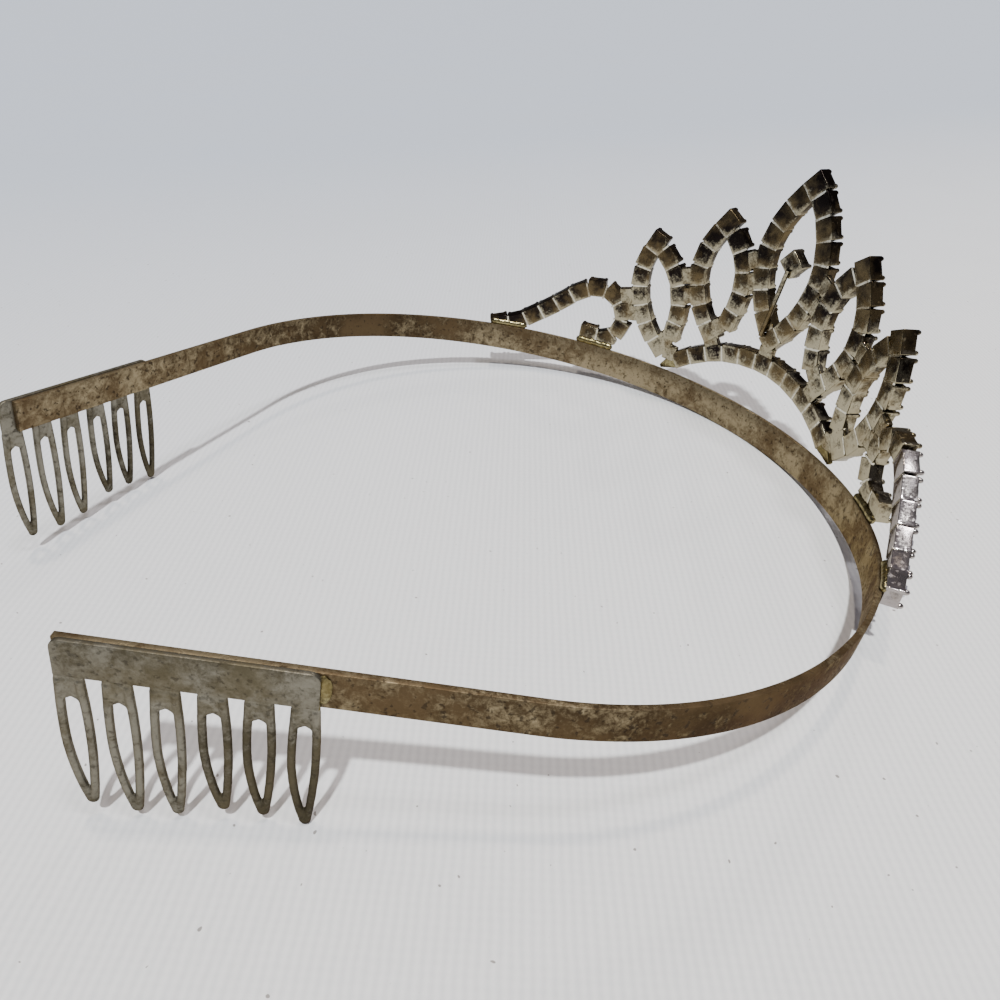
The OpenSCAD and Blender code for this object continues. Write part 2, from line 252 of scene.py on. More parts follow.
def tarnishedMetal(name, look):
    plan = tarnishPlan
    finish = Finish(bpy.data.materials.new(name))
    patches = finish.grain(look["patchSize"], 5, 0.62, warp=0.6)
    specks = finish.grain(look["speckSize"], 3, 0.7)
    pits = finish.grain(look["pitSize"], 2, 0.5)
    cloud = finish.grain(look["patchSize"] * plan["cloudSize"], 2, 0.5)
    stain = ((patches - 0.5) * plan["patches"] + (specks - 0.5) * look["speck"] + (cloud - 0.5)
             + look["stain"])
    if look["painted"]:
        # the mark holds real tarnish and, on the cups and comb plates, painted shade
        stain = stain + finish.mark("tarnishAndShade") - finish.mark("wear") * look["rubbed"]
    dark = stain.band(plan["darkFrom"], plan["darkTo"])
    pitted = pits.band(look["pitLevel"], look["pitLevel"] + plan["pitEdge"])
    base = finish.blend(look["light"], look["brown"], dark)
    warm = (cloud + patches * plan["warmPatches"]).band(plan["warmFrom"], plan["warmTo"])
    base = finish.blend(base, look["warm"], warm * plan["warmth"])
    base = finish.blend(base, look["black"], (pitted * look["pits"]).held())
    rough = (look["gloss"] + dark * plan["roughDark"] + (specks - 0.5) * plan["roughSpeck"]
             + pitted * plan["roughPit"])
    if look["silver"]:  # cups that kept their plating, tinted lilac as a painted reflection of the pale sky
        kept = finish.mark("silver") * (1 - dark * plan["silverLost"])
        base = finish.blend(base, look["silver"], kept)
    metal = look["metallic"] - dark * look["dulled"] - pitted * plan["pitDulled"]
    height = (specks * plan["speckHeight"] + patches * plan["patchHeight"]
              - pitted * plan["pitDepth"])
    return finish.done(Base_Color=base, Roughness=rough.held(), Metallic=metal.held(),
                       Specular_IOR_Level=look["shine"], Specular_Tint=look["rimTint"],
                       Normal=finish.bumps(height, look["bump"]))


bandLook = {
    "light": colour(0.29, 0.235, 0.142), "brown": colour(0.05, 0.033, 0.017),
    "warm": colour(0.14, 0.096, 0.05), "black": colour(0.025, 0.017, 0.01), "silver": None,
    "patchSize": 1.7, "speckSize": 0.45, "speck": 0.7, "pitSize": 0.9, "pitLevel": 0.6,
    "pits": 0.55, "stain": 0.38, "gloss": 0.4, "metallic": 0.9, "bump": 0.02, "painted": True,
    "rubbed": 0.0, "dulled": 0.1, "shine": 0.25, "rimTint": colour(0.35, 0.3, 0.24)}
combLook = dict(bandLook, light=colour(0.20, 0.188, 0.15), brown=colour(0.055, 0.047, 0.03),
                warm=colour(0.14, 0.12, 0.075), stain=0.3, patchSize=2.0, pits=0.3)
cupLook = dict(bandLook, light=colour(0.335, 0.3, 0.205), brown=colour(0.012, 0.009, 0.008),
               warm=colour(0.17, 0.125, 0.06), stain=0.44, patchSize=1.3, speckSize=0.4,
               speck=1.1, pits=0.2, rubbed=0.45, gloss=0.11, metallic=1.0, bump=0.007,
               dulled=0.03, rimTint=colour(0.6, 0.58, 0.55), silver=colour(0.36, 0.33, 0.34))
# The seam bars are pale: a painted highlight for the glint along the cups' edges.
seamGlintLook = dict(cupLook, light=colour(0.60, 0.57, 0.46), brown=colour(0.16, 0.14, 0.10),
                stain=0.25, painted=False, silver=None)
solderLook = dict(cupLook, light=colour(0.27, 0.235, 0.12), brown=colour(0.07, 0.052, 0.02),
                  warm=colour(0.19, 0.15, 0.06), stain=0.42, gloss=0.27, painted=False,
                  silver=None)
bandMetal = tarnishedMetal("bandMetal", bandLook)
combMetal = tarnishedMetal("combMetal", combLook)
cupMetal = tarnishedMetal("cupMetal", cupLook)
seamGlintMetal = tarnishedMetal("seamGlintMetal", seamGlintLook)
goldSolder = tarnishedMetal("goldSolder", solderLook)

glassLook = {"clear": colour(0.92, 0.92, 0.95), "foil": colour(0.62, 0.57, 0.64),
             "hazeSize": 1.2, "hazeFrom": 0.4, "hazeTo": 0.7, "gloss": 0.02, "hazeGloss": 0.06,
             "mirrored": 0.6, "bending": 1.6, "through": 0.6}


def cutGlass(look):  # clear glass with a foil behind it
    finish = Finish(bpy.data.materials.new("cutGlass"))
    haze = finish.grain(look["hazeSize"], 3, 0.6)
    tint = finish.blend(look["clear"], look["foil"],
                        haze.band(look["hazeFrom"], look["hazeTo"]))
    return finish.done(Base_Color=tint, Roughness=look["gloss"] + haze * look["hazeGloss"],
                       Metallic=look["mirrored"], IOR=look["bending"],
                       Transmission_Weight=look["through"])


stoneGlass = cutGlass(glassLook)
print("finishes made")


# The plan of the band, in millimetres and degrees, with its top edge at z = 0.
bandPlan = {"frontRadius": 64.5, "frontTurn": 82, "shoulderRadius": 57, "shoulderTurn": 40.5,
            "arm": 51.5, "thickness": 0.9, "frontHeight": 6.5, "endHeight": 5, "taperRun": 88,
            "edge": 0.1, "frontSteps": 56, "shoulderSteps": 28, "armSteps": 16}
# Stains: the arms are a little darker, and brown gathers round one place on each side.
bandStains = {"armStart": 8, "armRun": 45, "armLevel": 0.1,
              "left": {"level": 0.4, "place": 64, "reach": 52},
              "right": {"level": 0.44, "place": 72, "reach": 50}}


def armLine():  # the shoulder's centre, the start of the arm's middle line and its heading
    r, s = bandPlan["frontRadius"], bandPlan["shoulderRadius"]
    turn = math.radians(bandPlan["frontTurn"])
    heading = turn + math.radians(bandPlan["shoulderTurn"])
    centre = Vector(((r - s) * math.sin(turn), r - (r - s) * math.cos(turn), 0))
    start = centre + s * Vector((math.sin(heading), -math.cos(heading), 0))
    return centre * mm, start * mm, heading


def bandStain(at):
    plan = bandStains
    arm = min(1, max(0, (at.y - plan["armStart"] * mm) / (plan["armRun"] * mm)))
    patch = plan["left"] if at.x > 0 else plan["right"]
    away = abs(at.y - patch["place"] * mm) / (patch["reach"] * mm)
    return plan["armLevel"] * arm + patch["level"] * max(0, 1 - away)


def makeBand():
    plan = bandPlan
    centre, start, heading = armLine()
    way = Vector((math.cos(heading), math.sin(heading), 0))
    pickNone()
    bpy.ops.mesh.primitive_plane_add(size=1, rotation=(0, math.radians(90), 0))
    band = bpy.context.object
    band.scale = (plan["frontHeight"] * mm, plan["thickness"] * mm, 1)
    band.location = (0, 0, -plan["frontHeight"] * mm / 2)
    settle("band")
    edit(band)
    pickWhole()
    bpy.ops.mesh.spin(steps=plan["frontSteps"], angle=math.radians(plan["frontTurn"]),
                      center=(0, plan["frontRadius"] * mm, 0), axis=(0, 0, -1))
    bpy.ops.mesh.spin(steps=plan["shoulderSteps"], angle=math.radians(plan["shoulderTurn"]),
                      center=centre, axis=(0, 0, -1))
    for step in range(plan["armSteps"]):
        bpy.ops.mesh.extrude_region_move(
            TRANSFORM_OT_translate={"value": way * plan["arm"] * mm / plan["armSteps"]})
    pick("FACE", lambda f: abs(middle(f).x) < 1e-7)  # the section that it was spun from
    bpy.ops.mesh.delete(type="FACE")
    pick("VERT", lambda v: v.co.z < -plan["endHeight"] * mm / 2)
    mesh = bmesh.from_edit_mesh(band.data)
    for corner in mesh.verts:  # the lower edge rises from the front to the arms
        if corner.select:
            share = min(1, max(0, corner.co.y / (plan["taperRun"] * mm)))
            height = plan["frontHeight"] + (plan["endHeight"] - plan["frontHeight"]) * share
            corner.co.z = -height * mm
    bmesh.update_edit_mesh(band.data)
    leaveEdit()
    finishWith(band, "MIRROR", merge_threshold=1e-6)
    edit(band)
    faceOutwards()
    leaveEdit()
    roundEdges(band, plan["edge"], 2, 50)
    shadeSmooth(band, 30)
    paint(band, "tarnishAndShade", bandStain)
    band.data.transform(standPlace)
    dress(band, bandMetal)
    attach(band, "root")
    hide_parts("band")


makeBand()
print("band made")


# A tooth hangs from z = 0: two bowed legs that meet in a tip, and a sheet over the slot.
toothPlan = {"drop": 20.6, "root": 3.05, "belly": 3.8, "bellyAt": 0.46, "closing": 0.85,
             "wire": 1.05, "legTop": 1.2, "legSteps": 12, "legSides": 10, "legGap": 0.22,
             "tip": 0.8, "tipShift": 0.5, "tipFlat": 0.62, "shoulder": 2.6, "sheet": 0.55,
             "sheetInset": 0.3, "sheetCuts": (-0.6, 0.0, 0.6),
             "archFalls": ((9, 1.5), (0.8, -0.7), (0.1, -0.4)), "topFrom": -0.5, "topFlat": 0.6,
             "voxel": 0.16, "softening": 6}
# Stains, turns and trims are given tooth by tooth from the plate's front end.
combPlan = {"length": 27.7, "height": 5, "sheet": 0.7, "raise": 0.2, "teeth": 6, "pitch": 4.95,
            "corner": 1.2, "edge": 0.16, "leftShift": 2, "plateTopShade": 0.3, "tipDarkening": 0.3,
            "tipPower": 5, "stainRise": 3, "stains": [0.5, 0.45, 0.35, 0.05, 0.0, 0.05],
            "turns": [0.6, 0.4, 1.6, 0.1, 0.9, 0.5], "uneven": 0.3,
            "trims": [0.95, 0.915, 0.91, 1.0, 1.02, 0.99],
            "lump": (0.95, 0.42, 2.1), "lumpShift": 0.2, "lumpSink": 0.1, "lumpRough": 0.06,
            "lumpSeed": 5, "lumpEdge": 0.1}


def makeLeg(side):  # one leg of a tooth, a round wire that bows out and comes in to the tip
    plan = toothPlan
    top = side * (plan["root"] - plan["wire"]) / 2
    bow = side * (plan["belly"] - plan["wire"]) / 2
    tip = -plan["tipShift"] + side * plan["legGap"]
    reach = plan["drop"] - plan["tip"]
    spots = []
    for step in range(plan["legSteps"] + 1):
        share = step / plan["legSteps"]
        if share < plan["bellyAt"]:
            rise = share / plan["bellyAt"]
            across = top + (bow - top) * math.sin(rise * math.pi / 2)
        else:
            rise = (share - plan["bellyAt"]) / (1 - plan["bellyAt"])
            across = tip + (bow - tip) * math.cos(rise * math.pi / 2) ** plan["closing"]
        spots.append(Vector((across, 0, plan["legTop"] - share * (reach + plan["legTop"]))) * mm)
    pickNone()
    bpy.ops.mesh.primitive_circle_add(vertices=plan["legSides"], radius=plan["wire"] * mm / 2,
                                      fill_type="NGON", location=spots[0])
    leg = settle("leg")
    edit(leg)
    pickWhole()
    for near, far in zip(spots, spots[1:]):
        bpy.ops.mesh.extrude_region_move(TRANSFORM_OT_translate={"value": far - near})
    faceOutwards()
    leaveEdit()
    return leg


def makeTooth():
    plan = toothPlan
    legs = [makeLeg(1), makeLeg(-1)]
    pickNone()
    bpy.ops.mesh.primitive_uv_sphere_add(
        segments=14, ring_count=8, radius=plan["tip"] * mm,
        location=(-plan["tipShift"] * mm, 0, (plan["tip"] - plan["drop"]) * mm))
    ball = settle("ball")
    edit(ball)
    pickWhole()
    bpy.ops.transform.resize(value=(1, plan["tipFlat"], 1), center_override=(0, 0, 0))
    leaveEdit()
    sheet = block("sheet", (plan["root"] - plan["sheetInset"], plan["sheet"],
                            plan["shoulder"] + plan["legTop"]),
                  (0, 0, (plan["legTop"] - plan["shoulder"]) / 2))
    edit(sheet)
    for off in plan["sheetCuts"]:
        pickWhole()
        bpy.ops.mesh.bisect(plane_co=(off * mm, 0, 0), plane_no=(1, 0, 0))
    for reach, fall in plan["archFalls"]:  # its lower edge is an arch
        pick("VERT", lambda v: v.co.z < 0 and abs(v.co.x) < reach * mm)
        bpy.ops.transform.translate(value=(0, 0, -fall * mm))
    leaveEdit()
    tooth = joined(legs + [ball, sheet], "tooth")
    runTogether(tooth, plan["voxel"])
    edit(tooth)
    pick("VERT", lambda v: v.co.z > plan["topFrom"] * mm)  # the top is flattened into the plate
    bpy.ops.transform.resize(value=(1, plan["topFlat"], 1), center_override=(0, 0, 0))
    leaveEdit()
    soften(tooth, plan["softening"])
    return tooth


def makeComb(name, side, shift, tooth):  # the plate lies along x, its front end at x = 0
    plan = combPlan
    centre, start, heading = armLine()
    plate = block("plate", (plan["length"], plan["sheet"], plan["height"]),
                  (plan["length"] / 2, 0, plan["height"] / 2))
    edit(plate)
    pick("EDGE", lambda e: middle(e).z > 0
         and abs((e.verts[0].co - e.verts[1].co).normalized().y) > 0.9)
    bpy.ops.mesh.bevel(offset=plan["corner"] * mm, segments=6, affect="EDGES")
    leaveEdit()
    roundEdges(plate, plan["edge"], 2, 50)
    # painted shade: the plate darker towards its top, dimming its top edge's highlight
    paint(plate, "tarnishAndShade",
          lambda at: plan["plateTopShade"] * max(0, at.z / (plan["height"] * mm)))
    pickNone()
    bpy.ops.mesh.primitive_ico_sphere_add(subdivisions=3, radius=1 * mm)  # solder at its end
    lump = bpy.context.object
    lump.scale = plan["lump"]
    lump.location = (-plan["lumpShift"] * mm, (plan["sheet"] / 2 - plan["lumpSink"]) * mm,
                     plan["height"] * mm / 2)
    settle("lump")
    edit(lump)
    pickWhole()
    bpy.ops.transform.vertex_random(offset=plan["lumpRough"] * mm, seed=plan["lumpSeed"])
    leaveEdit()
    pieces = [plate, lump]
    end = (plan["length"] - (plan["teeth"] - 2) * plan["pitch"]) / 2
    drop = toothPlan["drop"] * mm
    for number in range(plan["teeth"]):
        along = end + (number - 0.5) * plan["pitch"]
        turn = plan["turns"][number] + chance.uniform(-plan["uneven"], plan["uneven"])
        lean = Matrix.Rotation(math.radians(turn), 4, "Y")
        place = (Matrix.Translation((along * mm, 0, 0)) @ lean
                 @ Matrix.Diagonal((1, 1, plan["trims"][number], 1)))
        twin = copied(tooth, "tooth", place)
        stain = plan["stains"][number]
        # each tooth's own tone fades in over its top third, and it is darker still right at its
        # tip
        paint(twin, "tarnishAndShade",
              lambda at: stain * min(1, max(0, -plan["stainRise"] * at.z / drop))
              + plan["tipDarkening"] * max(0, -at.z / drop) ** plan["tipPower"])
        pieces.append(twin)
    comb = joined(pieces, name)
    dress(comb, combMetal, goldSolder)
    for face in comb.data.polygons:
        atEnd = face.center.x < plan["lumpEdge"] * mm and face.center.z > 0
        face.material_index = 1 if atEnd else 0
    shadeSmooth(comb, 35)
    off = (bandPlan["thickness"] / 2 + plan["sheet"] / 2) * mm
    place = (Matrix.Translation(start) @ Matrix.Rotation(heading, 4, "Z")
             @ Matrix.Translation(((bandPlan["arm"] - plan["length"] + shift) * mm, -off,
                                   (plan["raise"] - plan["height"]) * mm)))
    comb.data.transform(place)
    if side < 0:
        comb.data.transform(Matrix.Diagonal((-1, 1, 1, 1)))
        comb.data.flip_normals()
    comb.data.transform(standPlace)
    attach(comb, "root")
    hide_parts(name)


tooth = makeTooth()
makeComb("comb_left", 1, combPlan["leftShift"], tooth)
makeComb("comb_right", -1, 0, tooth)
bpy.data.objects.remove(tooth)
print("combs made")


# One cup of the chain, its stone, and the bar to the next cup, in millimetres. The lean is how
# far the chains stand back over the band, in degrees.
cupPlan = {"length": 4.3, "width": 3.95, "depth": 2.75, "pitch": 4.4, "rim": 0.34, "floor": 0.5,
           "cut": 1.15, "innerCut": 0.4, "rings": (0.3, 0.65), "dip": 0.2, "claw": 0.46,
           "clawInset": 0.44, "clawStretch": 1.25, "edge": 0.13, "frame": 0.14, "pillow": 0.13,
           "bulge": 0.08, "swellInset": 0.2, "rub": 0.32, "seatDepth": 2.6, "lean": 5.8,
           "clear": 0.1}
stonePlan = {"radius": 1.62, "crown": 0.85, "girdle": 0.15, "point": 1.4, "table": 0.56,
             "tableTurn": 22.5, "pointShare": 0.05, "seat": 2.05}
linkPlan = {"thickness": 0.4, "share": 0.88, "behind": 0.22, "frame": 0.1}
linkLength = cupPlan["pitch"]
backOff = bandPlan["thickness"] / 2 + cupPlan["clear"]
chainRadius = bandPlan["frontRadius"] + backOff + cupPlan["seatDepth"] / 2 - linkLength / 3


def seatAt(spot):  # spot is along the front, height over the edge, turn: mm, mm, degrees
    along, height, turn = spot
    radius = bandPlan["frontRadius"] * mm
    return (standPlace @ Matrix.Translation((0, radius, 0))
            @ Matrix.Rotation(along / chainRadius, 4, "Z")
            @ Matrix.Translation((0, -radius - backOff * mm, 0))
            @ Matrix.Rotation(math.radians(-cupPlan["lean"]), 4, "X")
            @ Matrix.Translation((0, 0, height * mm))
            @ Matrix.Rotation(math.radians(-turn), 4, "Y"))


def chainFrom(start, firstWay, turns):  # cups one link apart, the way turning at each cup
    ways = [firstWay]
    for turn in turns:
        ways.append(ways[-1] + turn)
    x, h = start
    spots = [(x, h)]
    for way in ways:
        x += linkLength * math.cos(math.radians(way))
        h += linkLength * math.sin(math.radians(way))
        spots.append((x, h))
    angles = [ways[0]] + [(a + b) / 2 for a, b in zip(ways, ways[1:])] + [ways[-1]]
    return [(x, h, angle) for (x, h), angle in zip(spots, angles)]


def mirrored(spots):
    return [(-x, h, 180 - turn) for x, h, turn in spots]


# The arch, and how far over its cups' middles and at which cup each leaf starts.
archPlan = {"rise": 10.6, "turn": 7.2, "side": 5, "outerSeat": 4.65, "innerSeat": 4.9,
            "centerSeat": 5.5, "outerStart": 6, "innerStart": 3.2}
# The way that each chain sets out, and how it turns at each cup, in degrees. A scroll starts
# so many links along the band.
chainTurns = {"scrollStart": 15.3, "scroll": (163, [-16, -6, -2, 1, 16, 32, 40, 39, 45, 48]),
              "outerRise": (42, [14, 11, 13, 15, 16]), "outerFall": (-141, [10, 16, 14, 15]),
              "innerRise": (49, [11, 15, 17, 17, 14]), "innerFall": (-137, [12, 18, 18, 11]),
              "center": (50, [10, 10, 12, 15, 13, 12, 11])}


def overArch(number, off):
    radius = linkLength / 2 / math.sin(math.radians(archPlan["turn"] / 2))
    angle = math.radians(archPlan["turn"] * number)
    return ((radius + off) * math.sin(angle),
            archPlan["rise"] - radius + (radius + off) * math.cos(angle))


def leafFrom(start, goingUp, comingDown):
    rise = chainFrom(start, *goingUp)
    return rise + chainFrom(rise[-1][:2], *comingDown)[1:]


scrollCups = chainFrom((chainTurns["scrollStart"] * linkLength, 0), *chainTurns["scroll"])
outerCups = leafFrom(overArch(archPlan["outerStart"], archPlan["outerSeat"]),
                     chainTurns["outerRise"], chainTurns["outerFall"])
innerCups = leafFrom(overArch(archPlan["innerStart"], archPlan["innerSeat"]),
                     chainTurns["innerRise"], chainTurns["innerFall"])
centerRise = chainFrom(overArch(0, archPlan["centerSeat"]), *chainTurns["center"])
centerTop = (0, centerRise[8][1], centerRise[8][2])
centerCups = (centerRise[1:8] + [centerTop] + mirrored(centerRise[7:0:-1])
              + mirrored(centerRise[:1]))
archCups = [(*overArch(number, 0.0), -archPlan["turn"] * number)
            for number in range(-archPlan["side"], archPlan["side"] + 1)]


def makeCup():  # back on y = 0, mouth to -y, chain along x
    plan = cupPlan
    cup = block("cup", (plan["length"], plan["depth"], plan["width"]),
                (0, -plan["depth"] / 2, 0))
    edit(cup)
    for off in (-plan["cut"], -plan["innerCut"], plan["innerCut"], plan["cut"]):
        for normal in ((1, 0, 0), (0, 0, 1)):
            pickWhole()
            bpy.ops.mesh.bisect(plane_co=Vector(normal) * off * mm, plane_no=normal)
    for share in plan["rings"]:
        pickWhole()
        bpy.ops.mesh.bisect(plane_co=(0, -share * plan["depth"] * mm, 0), plane_no=(0, 1, 0))
    pick("FACE", lambda f: f.normal.y < -0.9)
    bpy.ops.mesh.inset(thickness=plan["rim"] * mm)
    bpy.ops.mesh.extrude_region_move(
        TRANSFORM_OT_translate={"value": (0, (plan["depth"] - plan["floor"]) * mm, 0)})
    onRim = plan["depth"] * mm - 1e-6
    mesh = bmesh.from_edit_mesh(cup.data)
    for corner in mesh.verts:  # the rim dips between the corners
        spot = corner.co
        if spot.y < -onRim and min(abs(spot.x), abs(spot.z)) < (plan["cut"] + 0.01) * mm:
            spot.y += plan["dip"] * mm
    bmesh.update_edit_mesh(cup.data)
    leaveEdit()
    roundEdges(cup, plan["edge"], 3, 55)
    edit(cup)
    faceOutwards()
    half = [plan["length"] * mm / 2, plan["depth"] * mm / 2, plan["width"] * mm / 2]
    for axis, side in ((1, 1), (0, 1), (0, -1), (2, 1), (2, -1)):
        level = 0 if axis == 1 else side * half[axis]
        pick("FACE", lambda f: f.normal[axis] * side > 0.99
             and abs(middle(f)[axis] - level) < 1e-5)
        bpy.ops.mesh.inset(thickness=plan["frame"] * mm)
        rise = (plan["pillow"] if axis == 1 else plan["bulge"]) * side * mm
        others = [other for other in range(3) if other != axis]
        mesh = bmesh.from_edit_mesh(cup.data)
        for corner in mesh.verts:
            if corner.select:  # each outer face swells a little toward its middle
                shape = 1.0
                for other in others:
                    at = corner.co[other] + (half[1] if other == 1 else 0)
                    end = half[other] - plan["swellInset"] * mm
                    shape *= max(0, 1 - (at / end) ** 2)
                corner.co[axis] += rise * shape
        bmesh.update_edit_mesh(cup.data)
    leaveEdit()
    claws = []
    for x in (-1, 1):
        for z in (-1, 1):  # each corner is bent over the stone in a round claw
            pickNone()
            bpy.ops.mesh.primitive_uv_sphere_add(segments=10, ring_count=7,
                                                 radius=plan["claw"] * mm)
            claws.append(bpy.context.object)
            claws[-1].data.transform(Matrix.Translation(
                (x * (half[0] - plan["clawInset"] * mm), -plan["depth"] * mm,
                 z * (half[2] - plan["clawInset"] * mm)))
                @ Matrix.Diagonal((1, plan["clawStretch"], 1, 1)))
    cup = joined([cup] + claws, "cup")

    def rubbed(at):  # 1 along the edges, 0 on the flat of a face
        rub = plan["rub"] * mm
        inside = (abs(at.x) < half[0] - rub, abs(at.z) < half[2] - rub,
                  abs(at.y + half[1]) < half[1] - rub)
        return 0.0 if sum(inside) > 1 else 1.0

    paint(cup, "wear", rubbed)
    shadeSmooth(cup, 40)
    return cup


def makeStone():
    plan = stonePlan
    pickNone()
    bpy.ops.mesh.primitive_cylinder_add(vertices=8, radius=plan["radius"] * mm,
                                        depth=plan["girdle"] * mm)
    stone = settle("stone")
    edit(stone)
    pick("FACE", lambda f: f.normal.z > 0.9)
    bpy.ops.mesh.extrude_region_move(
        TRANSFORM_OT_translate={"value": (0, 0, plan["crown"] * mm)})
    bpy.ops.transform.resize(value=(plan["table"], plan["table"], 1), center_override=(0, 0, 0))
    bpy.ops.transform.rotate(value=math.radians(plan["tableTurn"]), orient_axis="Z",
                             center_override=(0, 0, 0))
    pick("FACE", lambda f: f.normal.z < -0.9)
    bpy.ops.mesh.extrude_region_move(
        TRANSFORM_OT_translate={"value": (0, 0, -plan["point"] * mm)})
    bpy.ops.transform.resize(value=(plan["pointShare"], plan["pointShare"], 1),
                             center_override=(0, 0, 0))
    pick("FACE", lambda f: len(f.verts) == 4)
    bpy.ops.mesh.quads_convert_to_tris()
    leaveEdit()
    stone.data.transform(Matrix.Translation((0, -plan["seat"] * mm, 0))
                         @ Matrix.Rotation(math.radians(90), 4, "X"))
    return stone


def makeLink():  # a bar between two cups, pale as a painted highlight for the glint along their edges
    plan = linkPlan
    link = block("link", (plan["thickness"], plan["thickness"],
                          cupPlan["width"] * plan["share"]), (0, -plan["behind"], 0))
    edit(link)
    pick("FACE", lambda f: abs(f.normal.x) > 0.9)
    bpy.ops.mesh.inset(thickness=plan["frame"] * mm)
    leaveEdit()
    return link


cupFinishes = (cupMetal, seamGlintMetal, stoneGlass, goldSolder)
onCup, onSeamGlint, onStone, onSolder = range(4)  # their places in a chain's slots


def coat(piece, finish, smooth=False):  # gives all of a piece one of the four finishes
    dress(piece, *cupFinishes)
    for face in piece.data.polygons:
        face.material_index = finish
        if smooth:
            face.use_smooth = True


cup = makeCup()
stone = makeStone()
link = makeLink()
for model in (stone, link):
    paint(model, "wear", lambda at: 1.0)
dress(cup, *cupFinishes)
coat(stone, onStone)
coat(link, onSeamGlint)
print("cup, stone and link made: cup has", len(cup.data.polygons), "faces")


# Solder: flat bridges between two chains, beads along the band's upper edge, and the arch's feet.
solderPlan = {"voxel": 0.2, "goldVoxel": 0.16, "softening": 5, "stain": 0.2, "rub": 0.4}
bridgePlan = {"behind": 0.62, "leastRun": 0.85, "run": 4.2, "thickness": 0.6, "height": 1.9}
beadPlan = {"before": 1.6, "after": 1.7, "step": 0.55, "height": 0.55, "uneven": 0.05,
            "length": 1.5, "thickness": 1.1, "heights": (1.2, 1.5), "radius": 0.62}
footPlan = {"inside": 0.3, "outside": 4.1, "sink": 0.1, "thickness": 1.7, "share": 0.97,
            "behind": 0.95, "tipThickness": 0.6, "tipHeight": 0.2, "tipBehind": 0.5,
            "voxel": 0.15, "softening": 4}


def blobs(spots, voxel, finish):  # solder that has run together round these spots
    plan = solderPlan
    lumps = []
    for place, radius, *flat in spots:
        pickNone()
        if flat:
            bpy.ops.mesh.primitive_cube_add(size=2 * radius * mm)
        else:
            bpy.ops.mesh.primitive_ico_sphere_add(subdivisions=2, radius=radius * mm)
        lump = bpy.context.object
        lump.data.transform(place)
        lumps.append(lump)
    solder = joined(lumps, "solder")
    runTogether(solder, voxel)
    soften(solder, plan["softening"])
    paint(solder, "tarnishAndShade", lambda at: chance.uniform(0.0, plan["stain"]))
    paint(solder, "wear", lambda at: plan["rub"])
    coat(solder, finish, smooth=True)
    return solder


def wayTo(first, second):  # the spot half way between two cups, turned from one to the other
    way = math.degrees(math.atan2(second[1] - first[1], second[0] - first[0]))
    return ((first[0] + second[0]) / 2, (first[1] + second[1]) / 2, way)


def bridge(first, second):  # flat run of solder that fills the gap between two cups
    plan = bridgePlan
    run = math.hypot(second[0] - first[0], second[1] - first[1])
    place = (seatAt(wayTo(first, second)) @ Matrix.Translation((0, -plan["behind"] * mm, 0))
             @ Matrix.Diagonal((max(plan["leastRun"], run / plan["run"]), plan["thickness"],
                                plan["height"], 1)))
    return [(place, 1.0, "flat")]


def bead(first, second):  # solder along the band's upper edge behind two cups
    plan = beadPlan
    low, high = sorted((first[0], second[0]))
    spots = []
    x = low - plan["before"]
    while x < high + plan["after"]:
        off = chance.uniform(-plan["uneven"], plan["uneven"])
        place = (seatAt((x, plan["height"], 0)) @ Matrix.Translation((0, off * mm, 0))
                 @ Matrix.Diagonal((plan["length"], plan["thickness"],
                                    chance.uniform(*plan["heights"]), 1)))
        spots.append((place, plan["radius"]))
        x += plan["step"]
    return spots


def makeFoot(lastCup):  # the arch runs out to a flat point on the band's top edge
    plan = footPlan
    x, h, turn = lastCup
    slope = math.radians(-turn)
    near, far = cupPlan["length"] / 2 - plan["inside"], cupPlan["length"] / 2 + plan["outside"]
    fall = (far * math.sin(slope) - h) / math.cos(slope) + plan["sink"]
    foot = block("foot", (far - near, plan["thickness"], cupPlan["width"] * plan["share"]),
                 ((far + near) / 2, -plan["behind"], 0))
    edit(foot)
    pick("FACE", lambda f: f.normal.x > 0.9)
    bpy.ops.transform.resize(value=(1, plan["tipThickness"], plan["tipHeight"]),
                             center_override=(0, -plan["tipBehind"] * mm, 0))
    bpy.ops.transform.translate(value=(0, 0, fall * mm))
    leaveEdit()
    runTogether(foot, plan["voxel"])
    soften(foot, plan["softening"])
    foot.data.transform(seatAt(lastCup))
    paint(foot, "wear", lambda at: solderPlan["rub"])
    coat(foot, onSolder, smooth=True)
    return foot


# Cups higher up are darker, a painted shade for the dark room that they reflect, and cups towards
# the left side are darker as well.
darkPlan = {"start": -0.19, "upper": 0.9, "upperFrom": 10, "upperRun": 28, "left": 0.55,
            "leftRun": 60, "farLeft": 0.28, "farLeftFrom": 38, "uneven": (-0.12, 0.2)}
# How unevenly cups sit, the painted shade on each cup's upper side, and which cups are painted
# silver-lilac.
chainPlan = {"along": 0.06, "forward": 0.05, "up": 0.07, "turn": 1.6, "topPaintedShade": 0.4,
             "nextCup": 1.2, "archDark": 0.42, "platedSheenChain": "scroll_right", "platedSheenCups": 6,
             "platingAndSheen": 0.75}


def darkness(spot):
    plan = darkPlan
    # painted shade: the higher a cup stands, the darker it is, for the dark room it reflects
    upper = max(0, min(1, (spot[1] - plan["upperFrom"]) / plan["upperRun"]))
    return (plan["start"] + plan["upper"] * upper
            + plan["left"] * max(0, spot[0] / plan["leftRun"])
            + (plan["farLeft"] if spot[0] > plan["farLeftFrom"] else 0)
            + chance.uniform(*plan["uneven"]))


